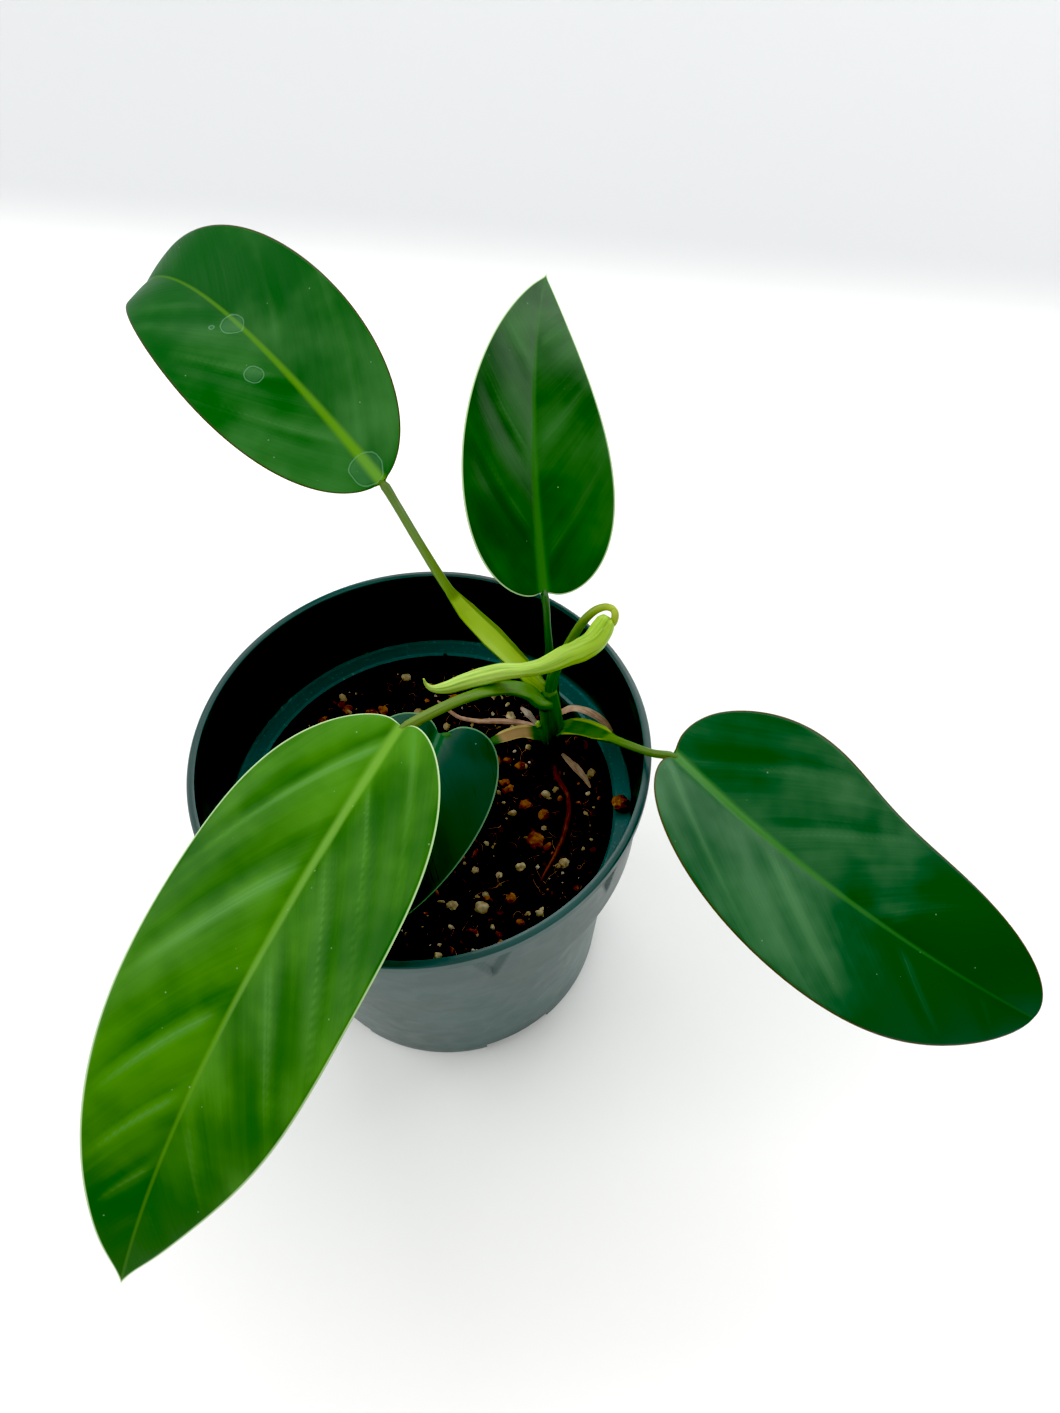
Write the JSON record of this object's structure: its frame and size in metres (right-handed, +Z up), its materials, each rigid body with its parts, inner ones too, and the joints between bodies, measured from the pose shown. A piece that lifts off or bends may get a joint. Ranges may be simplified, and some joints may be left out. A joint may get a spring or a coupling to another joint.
{
  "type": "potted philodendron",
  "caption": "Young philodendron with long oval leaves on arching stalks and a rolled new leaf, growing in a round tapered plastic nursery pot of potting mix.",
  "frame": {"origin": "centre of the pot's flat underside, on the surface it stands on", "axes": "+Z up, along the pot's axis; the longest leaf hangs over the pot's -Y side, and the dark wavy leaf is on the +X side"},
  "size_m": [0.2233, 0.2444, 0.1506],
  "materials": {
    "pot_plastic": "satin",
    "potting_mix": "rough",
    "stem_green": "satin",
    "stalk_green": "satin",
    "light_leaf": "satin",
    "dark_leaf": "satin",
    "blue_leaf": "satin",
    "new_growth": "satin",
    "dry_bract": "matte",
    "root": "matte",
    "bark": "rough",
    "perlite": "rough"
  },
  "bodies": {
    "root": {"nursery_pot": "pot_plastic", "main_stem": "stem_green", "front_leaf_stalk": "stalk_green", "left_leaf_stalk": "stalk_green", "back_leaf_stalk": "stem_green", "right_leaf_stalk": "stalk_green", "inner_leaf_stalk": "stalk_green", "new_leaf_stalk": "new_growth", "new_leaf_blade": "new_growth", "bract_right": "dry_bract", "bract_front": "dry_bract", "bract_left": "dry_bract", "aerial_root": "root", "surface_root": "root", "front_leaf_blade": "light_leaf", "left_leaf_blade": "dark_leaf", "back_leaf_blade": "dark_leaf", "right_leaf_blade": "dark_leaf", "inner_leaf_blade": "blue_leaf", "side_bud": "new_growth", "root_system": "root", "bark_chip_1": "bark", "bark_chip_2": "bark", "bark_chip_3": "bark", "bark_chip_4": "bark", "bark_chip_5": "bark", "bark_chip_6": "bark", "bark_chip_7": "bark", "bark_chip_8": "bark", "perlite_grain_1": "perlite", "perlite_grain_2": "perlite", "perlite_grain_3": "perlite", "perlite_grain_4": "perlite", "perlite_grain_5": "perlite", "perlite_grain_6": "perlite", "perlite_grain_7": "perlite", "perlite_grain_8": "perlite", "potting_mix": "potting_mix"}
  },
  "joints": []
}
